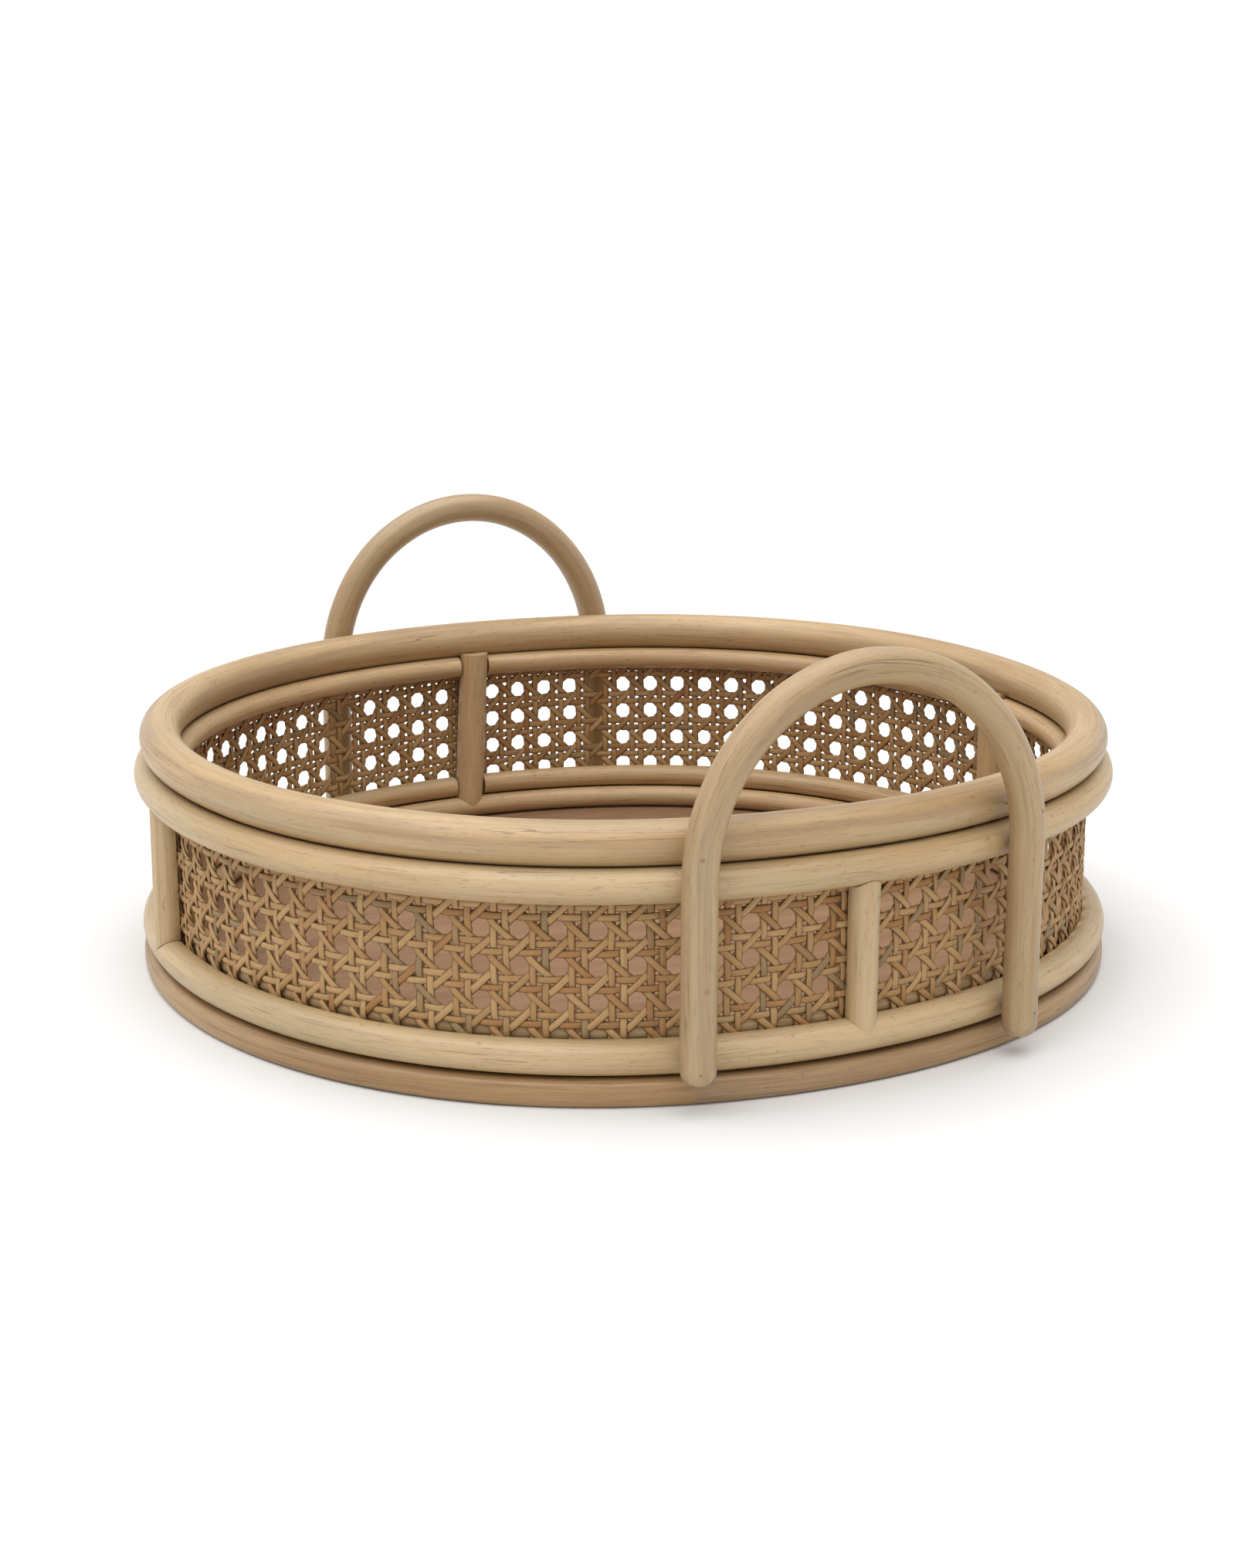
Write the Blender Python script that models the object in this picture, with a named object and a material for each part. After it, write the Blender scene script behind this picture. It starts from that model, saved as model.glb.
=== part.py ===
"""Round serving basket of rattan poles with a wall of woven cane and two arched handles.

Lengths are metres and angles are degrees. The basket stands on z = 0 with its axis on Z,
the front handle towards -Y and the back handle towards +Y.
"""

import math

import bmesh
import bpy

MM = 0.001

# Hoops: every hoop is a circle about Z, drawn in a little where the handles straddle it.
HANDLE_FLAT = 0.0256  # share of the radius lost at each handle
STEP = 5.0  # degrees between two stations of a hoop
GAP = 0.3 * MM  # left between pieces that touch
SHARP = 50.0  # edges above this angle stay sharp

# Sides of the sections, full round unless noted.
RIM_SIDES = 14
SPLIT_SIDES = 9  # of the rounded part of a split pole
RING_SIDES = 10
ARC_SIDES = 8
HANDLE_SIDES = 10
POST_SIDES = 12
CUTTER_SIDES = 24

# Woven cane wall, between the outer and the inner bands.
CANE_OUTER = 179.6 * MM
CANE_THICK = 1.4 * MM
CANE_INNER = CANE_OUTER - CANE_THICK
CANE_LOW = 10.0 * MM
CANE_HIGH = 82.0 * MM
CANE_SEAM = -108.3  # azimuth of the seam, behind the left leg of the front handle
SEAM_OPEN = 0.25  # degrees left open at the seam

# Pole sections: radius of the hoop at the pole's centre, height of the centre, pole radius.
TOP_RIM = (178.8 * MM, 90.3 * MM, 7.8 * MM)
UPPER_OUTER = (183.2 * MM, 76.6 * MM, 6.15 * MM)
LOWER_OUTER = (182.4 * MM, 16.6 * MM, 6.1 * MM)
UPPER_INNER = (173.3 * MM, 78.8 * MM, 4.6 * MM)
LOWER_INNER = (173.3 * MM, 23.0 * MM, 4.6 * MM)
FLOOR_RING = (170.0 * MM, 13.9 * MM, 4.6 * MM)
BASE_RING = (183.3 * MM, 4.75 * MM, 5.0 * MM)
SPLIT_AT = CANE_OUTER + GAP  # flat side of the split outer bands and posts

# Floor board, inside the base ring.
BOARD_RADIUS = 177.8 * MM
BOARD_LOW = 3.0 * MM
BOARD_HIGH = 9.0 * MM

# Posts are set by hand, a degree or so off the quarter points.
FRONT = -88.5
BACK = 88.5
LEFT = 176.5
RIGHT = -1.0

HANDLE_POLE = 6.25 * MM
HANDLE_OUT = 182.5 * MM  # distance from the axis to the plane of the bent pole
HANDLE_SPRING = 80.0 * MM  # where the legs start to bend

# Each handle: azimuth, half the distance between the legs, height of the pole's centre at
# the top of the arch, and height of the foot of each leg (as seen from outside).
FRONT_HANDLE = {"azimuth": -88.95, "half": 64.6 * MM, "top": 146.8 * MM,
                "left_foot": 11.1 * MM, "right_foot": 6.8 * MM}
BACK_HANDLE = {"azimuth": 87.2, "half": 63.2 * MM, "top": 149.0 * MM,
               "left_foot": 8.5 * MM, "right_foot": 8.5 * MM}
FOOT_ROUND = 3.0 * MM  # length over which a leg's end is rounded
FOOT_TAPER = 0.6  # share of the pole's radius left at the very end
ARCH_STEPS = 20

OUTER_POST = (182.8 * MM, 5.5 * MM)  # hoop radius at the centre, pole radius
INNER_POST = (171.7 * MM, 6.2 * MM)
INNER_POST_TOP = 85.0 * MM
INNER_BACK = (89.35, 88.15)  # the inner back post leans: azimuth of its foot and its top
BAND_GAP = 0.8 * MM  # between an inner band's end and the post beside it
COPE_REACH = 6.0  # degrees of hoop to either side of a post, used to cope its ends

# Brads that hold the handle legs to the rim and to the lower outer band.
BRAD_HEAD = 0.8 * MM
BRAD_HEAD_THICK = 0.4 * MM
BRAD_SHANK = 0.5 * MM
BRAD_LENGTH = 20.5 * MM
BRAD_SINK = 0.2 * MM  # depth of the head below the leg's surface
HOLE_LEAD = 2.0 * MM  # length by which a hole's cutter starts outside the leg
BRAD_HEIGHTS = {"rim": TOP_RIM[1], "band": LOWER_OUTER[1]}
BRAD_SIDES = 8

RATTAN = ("rattan_pole", (0.56, 0.42, 0.26, 1.0), 0.5)
BASE_RATTAN = ("base_pole", (0.40, 0.28, 0.16, 1.0), 0.55)
CANE = ("woven_cane", (0.42, 0.28, 0.14, 1.0), 0.6)
BOARD = ("floor_board", (0.26, 0.15, 0.10, 1.0), 0.6)
STEEL = ("brad_steel", (0.20, 0.16, 0.12, 1.0), 0.45)
METAL_SLOTS = ("brad_steel",)


def clear_scene():
    for obj in list(bpy.data.objects):
        bpy.data.objects.remove(obj, do_unlink=True)


def material(kind):
    name, colour, roughness = kind
    found = bpy.data.materials.get(name)
    if found:
        return found
    made = bpy.data.materials.new(name)
    made.use_nodes = True
    shader = made.node_tree.nodes["Principled BSDF"]
    shader.inputs["Base Color"].default_value = colour
    shader.inputs["Roughness"].default_value = roughness
    shader.inputs["Metallic"].default_value = 1.0 if name in METAL_SLOTS else 0.0
    return made


def hoop_radius(radius, azimuth):
    """Radius of a hoop at an azimuth: full at the sides, drawn in at both handles."""
    turn = math.radians(azimuth + 90.0)
    draw = (2.0 * math.cos(2.0 * turn) + math.cos(4.0 * turn)) / 3.0
    return radius * (1.0 - HANDLE_FLAT * draw)


def on_hoop(radius, azimuth, height):
    reach = hoop_radius(radius, azimuth)
    angle = math.radians(azimuth)
    return (reach * math.cos(angle), reach * math.sin(angle), height)


def stations(start=None, end=None):
    """Azimuths of a hoop's stations: all round, or from start to end with both ends."""
    if start is None:
        return [i * STEP for i in range(round(360.0 / STEP))]
    first = math.floor(start / STEP) + 1
    last = math.ceil(end / STEP) - 1
    return [start] + [i * STEP for i in range(first, last + 1)] + [end]


def round_section(pole, sides, spare=0.0):
    """Points (radius, height) of a round pole's section, counter-clockwise."""
    centre, height, radius = pole
    points = []
    for i in range(sides):
        angle = 2.0 * math.pi * (i + 0.5) / sides
        points.append((centre + (radius + spare) * math.cos(angle),
                       height + (radius + spare) * math.sin(angle)))
    return points


def split_section(pole, flat, sides):
    """Section of a pole split along its length, with its flat side at radius flat."""
    centre, height, radius = pole
    half = math.acos((flat - centre) / radius)
    points = []
    for i in range(sides + 1):
        angle = -half + 2.0 * half * i / sides
        points.append((centre + radius * math.cos(angle), height + radius * math.sin(angle)))
    return points


def footed_section(pole, sides):
    """Section of a round pole whose underside is planed flat at z = 0."""
    centre, height, radius = pole
    start = -math.acos(0.0) + math.acos(height / radius)
    points = []
    for i in range(sides + 1):
        angle = start + (2.0 * math.pi - 2.0 * math.acos(height / radius)) * i / sides
        points.append((centre + radius * math.cos(angle), height + radius * math.sin(angle)))
    return points


def finish(name, bm, kind, smooth=True):
    bmesh.ops.recalc_face_normals(bm, faces=bm.faces)
    mesh = bpy.data.meshes.new(name)
    bm.to_mesh(mesh)
    bm.free()
    mesh.materials.append(material(kind))
    if smooth:
        mesh.shade_smooth()
        mesh.set_sharp_from_angle(angle=math.radians(SHARP))
    obj = bpy.data.objects.new(name, mesh)
    bpy.context.scene.collection.objects.link(obj)
    return obj


def skin(rings, closed):
    """Mesh through rings of points: a loop when closed, otherwise with a cap at each end."""
    bm = bmesh.new()
    rows = [[bm.verts.new(point) for point in ring] for ring in rings]
    count = len(rows[0])
    spans = list(zip(rows, rows[1:]))
    if closed:
        spans.append((rows[-1], rows[0]))
    for row, following in spans:
        for i in range(count):
            j = (i + 1) % count
            bm.faces.new((row[i], row[j], following[j], following[i]))
    if not closed:
        bm.faces.new(rows[0][::-1])
        bm.faces.new(rows[-1])
    return bm


def hoop(name, section, kind, start=None, end=None):
    rings = []
    for azimuth in stations(start, end):
        rings.append([on_hoop(radius, azimuth, height) for radius, height in section])
    return finish(name, skin(rings, closed=start is None), kind)


def cutter(obj):
    obj.hide_render = True
    obj.display_type = "WIRE"
    return obj


def cut(target, tool):
    modifier = target.modifiers.new("cut_" + tool.name, "BOOLEAN")
    modifier.operation = "DIFFERENCE"
    modifier.object = tool


def make_hoops():
    hoop("top_rim", round_section(TOP_RIM, RIM_SIDES), RATTAN)
    hoop("upper_outer_band", split_section(UPPER_OUTER, SPLIT_AT, SPLIT_SIDES), RATTAN)
    hoop("lower_outer_band", split_section(LOWER_OUTER, SPLIT_AT, SPLIT_SIDES), RATTAN)
    hoop("base_ring", footed_section(BASE_RING, RING_SIDES), BASE_RATTAN)
    hoop("floor_ring", round_section(FLOOR_RING, RING_SIDES), RATTAN)


def make_cane():
    section = [(CANE_INNER, CANE_LOW), (CANE_OUTER, CANE_LOW),
               (CANE_OUTER, CANE_HIGH), (CANE_INNER, CANE_HIGH)]
    hoop("cane_webbing", section, CANE, CANE_SEAM + SEAM_OPEN, CANE_SEAM + 360.0 - SEAM_OPEN)


def make_board():
    rings = []
    for height in (BOARD_LOW, BOARD_HIGH):
        rings.append([on_hoop(BOARD_RADIUS, azimuth, height) for azimuth in stations()])
    finish("floor_panel", skin(rings, closed=False), BOARD)


def make_inner_bands():
    """Each inner band is four arcs, which butt against the inner posts."""
    names = ["back_right", "back_left", "front_left", "front_right"]
    spare = math.degrees(math.asin((INNER_POST[1] + BAND_GAP) / INNER_POST[0]))
    for level, pole in (("upper", UPPER_INNER), ("lower", LOWER_INNER)):
        share = (pole[1] - FLOOR_RING[1]) / (INNER_POST_TOP - FLOOR_RING[1])
        back = INNER_BACK[0] + share * (INNER_BACK[1] - INNER_BACK[0])
        posts = [RIGHT, back, LEFT, FRONT + 360.0, RIGHT + 360.0]
        for name, start, end in zip(names, posts, posts[1:]):
            hoop(f"{level}_inner_band_{name}", round_section(pole, ARC_SIDES), RATTAN,
                 start + spare, end - spare)


def pole_ring(centre, across, along, radius, sides):
    """Ring of points round a pole's centre, in the plane of the two directions."""
    points = []
    for i in range(sides):
        angle = 2.0 * math.pi * (i + 0.5) / sides
        points.append(tuple(c + radius * (math.cos(angle) * a + math.sin(angle) * b)
                            for c, a, b in zip(centre, across, along)))
    return points


def handle_path(spec):
    """Points (sideways, height) with tangents: right leg, half an ellipse, left leg."""
    half = spec["half"]
    rise = spec["top"] - HANDLE_SPRING
    right, left = spec["right_foot"], spec["left_foot"]
    path = [(half, right, 0.0, 1.0), (half, right + FOOT_ROUND, 0.0, 1.0)]
    for i in range(ARCH_STEPS + 1):
        angle = math.pi * i / ARCH_STEPS
        path.append((half * math.cos(angle), HANDLE_SPRING + rise * math.sin(angle),
                     -half * math.sin(angle), rise * math.cos(angle)))
    path += [(-half, left + FOOT_ROUND, 0.0, -1.0), (-half, left, 0.0, -1.0)]
    return path


def handle(name, spec):
    angle = math.radians(spec["azimuth"])
    out = (math.cos(angle), math.sin(angle), 0.0)
    side = (-math.sin(angle), math.cos(angle), 0.0)
    rings = []
    path = handle_path(spec)
    for place, (sideways, height, run, climb) in enumerate(path):
        length = math.hypot(run, climb)
        normal = tuple(climb / length * s for s in side[:2]) + (-run / length,)
        centre = [HANDLE_OUT * o + sideways * s for o, s in zip(out, side)]
        centre[2] = height
        at_end = place in (0, len(path) - 1)
        radius = HANDLE_POLE * (FOOT_TAPER if at_end else 1.0)
        rings.append(pole_ring(centre, out, normal, radius, HANDLE_SIDES))
    return finish(name, skin(rings, closed=False), RATTAN)


def upright(name, azimuth, post, low, high, flat=None, top_azimuth=None):
    """Straight post on a hoop, split along its back when flat is given; it leans when the
    azimuth of its top is given."""
    hoop_at, radius = post
    section = round_section((0.0, 0.0, radius), POST_SIDES)
    if flat is not None:
        section = split_section((0.0, 0.0, radius), flat - hoop_at, SPLIT_SIDES)
    reach = hoop_radius(hoop_at, azimuth)
    rings = []
    for height, at in ((low, azimuth), (high, azimuth if top_azimuth is None else top_azimuth)):
        angle = math.radians(at)
        ring = []
        for outward, sideways in section:
            ring.append(((reach + outward) * math.cos(angle) - sideways * math.sin(angle),
                         (reach + outward) * math.sin(angle) + sideways * math.cos(angle),
                         height))
        rings.append(ring)
    return finish(name, skin(rings, closed=False), RATTAN)


def hoop_cutter(name, pole, azimuth):
    """Short stretch of a hoop, a gap larger than its pole, that copes a post's end."""
    section = round_section(pole, CUTTER_SIDES, GAP)
    return cutter(hoop(name, section, RATTAN, azimuth - COPE_REACH, azimuth + COPE_REACH))


def make_posts():
    """Outer posts stand between the outer bands, inner posts between floor ring and rim."""
    places = {"front": FRONT, "back": BACK, "left": LEFT, "right": RIGHT}
    for place, azimuth in places.items():
        outer = upright(f"outer_post_{place}", azimuth, OUTER_POST, LOWER_OUTER[1],
                        UPPER_OUTER[1], flat=SPLIT_AT)
        cut(outer, hoop_cutter(f"cope_low_{place}", LOWER_OUTER, azimuth))
        cut(outer, hoop_cutter(f"cope_high_{place}", UPPER_OUTER, azimuth))
        foot, top = INNER_BACK if place == "back" else (azimuth, azimuth)
        inner = upright(f"inner_post_{place}", foot, INNER_POST, FLOOR_RING[1],
                        INNER_POST_TOP, top_azimuth=top)
        cut(inner, hoop_cutter(f"seat_low_{place}", FLOOR_RING, azimuth))
        cut(inner, hoop_cutter(f"seat_high_{place}", TOP_RIM, azimuth))


def turned(name, profile, place, direction, kind):
    """Solid turned about a horizontal axis: profile is (distance along, radius) pairs."""
    side = (-direction[1], direction[0], 0.0)
    rings = []
    for distance, radius in profile:
        centre = tuple(p + distance * d for p, d in zip(place, direction))
        rings.append(pole_ring(centre, side, (0.0, 0.0, 1.0), radius, BRAD_SIDES))
    return finish(name, skin(rings, closed=False), kind)


def make_brads(legs, hoops):
    """Brads driven level from outside, through a leg and towards the basket's axis."""
    for leg_name, (handle_object, spec, sideways) in legs.items():
        angle = math.radians(spec["azimuth"])
        centre = (HANDLE_OUT * math.cos(angle) - sideways * math.sin(angle),
                  HANDLE_OUT * math.sin(angle) + sideways * math.cos(angle))
        length = math.hypot(*centre)
        inward = (-centre[0] / length, -centre[1] / length, 0.0)
        for level, height in BRAD_HEIGHTS.items():
            surface = HANDLE_POLE - BRAD_SINK
            place = (centre[0] - inward[0] * surface, centre[1] - inward[1] * surface, height)
            shape = [(0.0, BRAD_HEAD), (BRAD_HEAD_THICK, BRAD_HEAD),
                     (BRAD_HEAD_THICK, BRAD_SHANK), (BRAD_LENGTH, BRAD_SHANK)]
            turned(f"brad_{leg_name}_{level}", shape, place, inward, STEEL)
            seat = [(-HOLE_LEAD, BRAD_HEAD + GAP), (BRAD_HEAD_THICK + GAP, BRAD_HEAD + GAP),
                    (BRAD_HEAD_THICK + GAP, BRAD_SHANK + GAP),
                    (BRAD_LENGTH + GAP, BRAD_SHANK + GAP)]
            hole = cutter(turned(f"hole_{leg_name}_{level}", seat, place, inward, STEEL))
            cut(handle_object, hole)
            cut(hoops[level], hole)


def main():
    clear_scene()
    make_hoops()
    make_cane()
    make_board()
    make_inner_bands()
    make_posts()
    front = handle("front_handle", FRONT_HANDLE)
    back = handle("back_handle", BACK_HANDLE)
    legs = {
        "front_left": (front, FRONT_HANDLE, -FRONT_HANDLE["half"]),
        "front_right": (front, FRONT_HANDLE, FRONT_HANDLE["half"]),
        "back_right": (back, BACK_HANDLE, -BACK_HANDLE["half"]),
        "back_left": (back, BACK_HANDLE, BACK_HANDLE["half"]),
    }
    hoops = {"rim": bpy.data.objects["top_rim"], "band": bpy.data.objects["lower_outer_band"]}
    make_brads(legs, hoops)


main()
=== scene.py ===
import math

import bpy
import numpy as np
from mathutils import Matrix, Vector


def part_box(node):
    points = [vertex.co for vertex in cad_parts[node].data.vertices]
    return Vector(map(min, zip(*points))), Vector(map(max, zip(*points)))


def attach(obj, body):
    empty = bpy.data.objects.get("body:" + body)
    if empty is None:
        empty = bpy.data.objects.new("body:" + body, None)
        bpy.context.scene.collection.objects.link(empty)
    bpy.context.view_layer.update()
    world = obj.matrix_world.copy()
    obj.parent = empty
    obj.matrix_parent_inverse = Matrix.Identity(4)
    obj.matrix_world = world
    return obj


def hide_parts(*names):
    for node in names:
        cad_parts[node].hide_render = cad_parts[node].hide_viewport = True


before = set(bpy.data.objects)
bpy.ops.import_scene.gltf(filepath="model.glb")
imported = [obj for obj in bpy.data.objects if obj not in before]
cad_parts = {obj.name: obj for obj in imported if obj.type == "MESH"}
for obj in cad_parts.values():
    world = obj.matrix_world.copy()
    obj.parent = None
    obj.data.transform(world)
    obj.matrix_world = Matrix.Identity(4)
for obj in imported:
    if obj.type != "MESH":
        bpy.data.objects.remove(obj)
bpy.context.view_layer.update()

scene = bpy.context.scene
print("basket: frame loaded,", len(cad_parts), "nodes")

# the basket's outline: every hoop is a circle drawn in a little under both handles
basket = {
    "handleFlat": 0.0256,  # share of the radius lost at each handle
    "jointAzimuth": -108.4,  # where every hoop's pole is joined, behind a handle leg
    "posts": {"front": -88.5, "back": 88.5, "left": 176.5, "right": -1.0},  # azimuths
    "innerBack": (89.35, 88.15),  # the inner back post leans: azimuth of its foot and its top
    "innerTop": 0.0850,  # no inner post goes higher
}


def hoopRadius(radius, azimuth):  # radius * (1 - flat * (2 cos 2t + cos 4t) / 3), t from the front
    turn = np.radians(np.asarray(azimuth) + 90.0)
    lost = basket["handleFlat"] * (2.0 * np.cos(2.0 * turn) + np.cos(4.0 * turn)) / 3.0
    return radius * (1.0 - lost)


def drift(place, seed, terms=((2, 0.5), (3, 0.4), (5, 0.35), (9, 0.25), (14, 0.15))):
    # sum of size * cos(waves * place + start), each wave with its own start
    starts = np.random.default_rng(seed).uniform(0.0, 2.0 * np.pi, len(terms))
    return sum(size * np.cos(waves * place + start) for (waves, size), start in zip(terms, starts))


def together(*parts):  # spread to one shape and joined along a new last axis
    return np.stack(np.broadcast_arrays(*parts), -1)


def roundAxis(reach, place, height):  # (reach cos place, reach sin place, height)
    return together(reach * np.cos(place), reach * np.sin(place), height)


def facingOut(reach, side, height, facing):  # reach along the facing, side square to it
    return together(
        reach * np.cos(facing) - side * np.sin(facing),
        reach * np.sin(facing) + side * np.cos(facing), height)


def evenAngles(count):  # round a section, beginning half a step on
    return 2.0 * np.pi * (np.arange(count) + 0.5) / count


def meshFromFaces(name, points, quads, triangles, corners, sharpAngle=None):
    mesh = bpy.data.meshes.new(name)
    a, b, c, d = (points[quads[:, k]] for k in range(4))
    volume = np.einsum("ij,ij->", a, np.cross(b, c)) + np.einsum("ij,ij->", a, np.cross(c, d))
    if volume < 0.0:  # turned so that every face looks outwards
        quads, triangles = quads[:, ::-1], triangles[:, ::-1]
        corners = [part[:, ::-1] for part in corners]
    mesh.vertices.add(len(points))
    mesh.vertices.foreach_set("co", points.astype(np.float32).ravel())
    loops = np.concatenate([quads.ravel(), triangles.ravel()]).astype(np.int32)
    starts = np.concatenate([
        np.arange(len(quads)) * 4, len(quads) * 4 + np.arange(len(triangles)) * 3])
    mesh.loops.add(len(loops))
    mesh.loops.foreach_set("vertex_index", loops)
    mesh.polygons.add(len(starts))
    mesh.polygons.foreach_set("loop_start", starts.astype(np.int32))
    mesh.polygons.foreach_set("use_smooth", np.ones(len(starts), bool))
    mesh.update(calc_edges=True)
    grain = mesh.attributes.new("grain", "FLOAT_VECTOR", "CORNER")
    vectors = np.concatenate([part.reshape(-1, 3) for part in corners])
    grain.data.foreach_set("vector", vectors.astype(np.float32).ravel())
    if sharpAngle:
        mesh.set_sharp_from_angle(angle=math.radians(sharpAngle))
    return mesh


def shell(rings, grain, loop):
    # quads between each ring of points and the next; a loop joins the last ring to the first,
    # otherwise a fan of triangles round a hub closes each end
    count, around = rings.shape[:2]
    spans = count if loop else count - 1
    i, j = np.meshgrid(np.arange(spans), np.arange(around), indexing="ij")
    ring = np.stack([i, i + 1, i + 1, i], -1).reshape(-1, 4)
    place = np.stack([j, j, (j + 1) % around, (j + 1) % around], -1).reshape(-1, 4)
    points = rings.reshape(-1, 3)
    quads = (ring % count) * around + place
    quadGrain = grain[ring, place]
    if loop:
        return points, quads, np.zeros((0, 3), int), (quadGrain, np.zeros((0, 3, 3)))
    k = np.arange(around)
    following = (k + 1) % around
    hubs = np.stack([rings[0].mean(0), rings[-1].mean(0)])
    firstHub, lastHub = len(points), len(points) + 1
    top = (count - 1) * around
    triangles = np.concatenate([
        np.stack([np.full(around, firstHub), following, k], -1),
        np.stack([np.full(around, lastHub), top + k, top + following], -1)])
    hubGrain = [np.tile(grain[end].mean(0), (around, 1)) for end in (0, count - 1)]
    fanGrain = np.concatenate([
        np.stack([hubGrain[0], grain[0, following], grain[0, k]], 1),
        np.stack([hubGrain[1], grain[count - 1, k], grain[count - 1, following]], 1)])
    return np.concatenate([points, hubs]), quads, triangles, (quadGrain, fanGrain)


def addPiece(name, mesh, finish, node):
    piece = bpy.data.objects.new(name, mesh)
    scene.collection.objects.link(piece)
    mesh.materials.append(finish)
    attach(piece, "root")
    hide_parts(node)


def shellPiece(name, rings, grain, loop, finish, node, sharpAngle=None):
    mesh = meshFromFaces(name, *shell(rings, grain, loop), sharpAngle=sharpAngle)
    addPiece(name, mesh, finish, node)


class Value:  # one socket of a finish; arithmetic on it adds Math nodes
    def __init__(self, finish, socket):
        self.finish, self.socket = finish, socket

    def maths(self, operation, other, swapped=False):
        first, second = (other, self) if swapped else (self, other)
        return self.finish.node("ShaderNodeMath", {"operation": operation}, {0: first, 1: second})

    def __add__(self, other): return self.maths("ADD", other)
    def __radd__(self, other): return self.maths("ADD", other, True)
    def __sub__(self, other): return self.maths("SUBTRACT", other)
    def __rsub__(self, other): return self.maths("SUBTRACT", other, True)
    def __mul__(self, other): return self.maths("MULTIPLY", other)
    def __rmul__(self, other): return self.maths("MULTIPLY", other, True)
    def __abs__(self): return self.maths("ABSOLUTE", 0.0)
    def fraction(self): return self.maths("FRACT", 0.0)


class Finish:
    def __init__(self, name):
        self.material = bpy.data.materials.new(name)
        self.material.use_nodes = True
        self.tree = self.material.node_tree
        self.shader = self.tree.nodes["Principled BSDF"]

    def feed(self, socket, value):
        if isinstance(value, Value):
            self.tree.links.new(value.socket, socket)
        else:
            socket.default_value = value

    def node(self, kind, settings, sockets, out=0):
        made = self.tree.nodes.new(kind)
        for setting, value in settings.items():
            setattr(made, setting, value)
        for socket, value in sockets.items():
            self.feed(made.inputs[socket], value)
        return Value(self, made.outputs[out])

    def grain(self):  # along the pole or strand, then the two ways across it, in metres
        return self.node("ShaderNodeAttribute", {"attribute_name": "grain"}, {}, "Vector")

    def place(self):
        return self.node("ShaderNodeTexCoord", {}, {}, "Object")

    def part(self, vector, axis):
        return self.node("ShaderNodeSeparateXYZ", {}, {0: vector}, axis)

    def noise(self, vector, scale, detail=2.0, rough=0.5):  # scale is one number for each way
        stretched = self.node("ShaderNodeVectorMath", {"operation": "MULTIPLY"}, {0: vector, 1: scale})
        sockets = {"Vector": stretched, "Scale": 1.0, "Detail": detail, "Roughness": rough}
        return self.node("ShaderNodeTexNoise", {}, sockets)

    def step(self, value, low, high):  # smooth step from 0 to 1
        sockets = {"Value": value, "From Min": low, "From Max": high}
        return self.node("ShaderNodeMapRange", {"interpolation_type": "SMOOTHSTEP"}, sockets)

    def blend(self, factor, first, second):
        sockets = {0: factor, 6: first, 7: second}
        return self.node("ShaderNodeMix", {"data_type": "RGBA"}, sockets, 2)

    def bump(self, height, distance, strength):
        sockets = {"Strength": strength, "Distance": distance, "Height": height}
        return self.node("ShaderNodeBump", {}, sockets)

    def close(self, **sockets):
        for socket, value in sockets.items():
            self.feed(self.shader.inputs[socket.replace("_", " ")], value)
        return self.material


def tone(red, green, blue):
    return (red, green, blue, 1.0)


sandedPole = {
    "pale": tone(0.478, 0.330, 0.164),
    "honey": tone(0.402, 0.256, 0.110),
    "grey": tone(0.358, 0.272, 0.152),
    "stain": tone(0.320, 0.205, 0.112),
    "streak": tone(0.255, 0.150, 0.063),
    "pore": tone(0.200, 0.115, 0.050),
    "crack": tone(0.120, 0.064, 0.027),
    "stainShare": 0.68,
    "streakShare": 0.58,
    "roughness": 0.44,
    "nodeSpacing": 0.31,
}
bandPole = dict(
    sandedPole, pale=tone(0.520, 0.375, 0.199), honey=tone(0.455, 0.309, 0.145),
    grey=tone(0.405, 0.320, 0.187), streak=tone(0.315, 0.198, 0.092), stainShare=0.22)
handleWood = dict(
    sandedPole, pale=tone(0.418, 0.293, 0.156), honey=tone(0.355, 0.233, 0.108),
    grey=tone(0.312, 0.242, 0.144), streak=tone(0.230, 0.140, 0.064), stainShare=0.5)
smokedPole = dict(
    sandedPole, pale=tone(0.415, 0.258, 0.110), honey=tone(0.330, 0.190, 0.073),
    grey=tone(0.318, 0.228, 0.118), streak=tone(0.165, 0.086, 0.033), streakShare=0.9)
innerPole = dict(
    sandedPole, pale=tone(0.530, 0.358, 0.180), honey=tone(0.462, 0.288, 0.130),
    grey=tone(0.412, 0.306, 0.168), stainShare=0.3)


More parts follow.
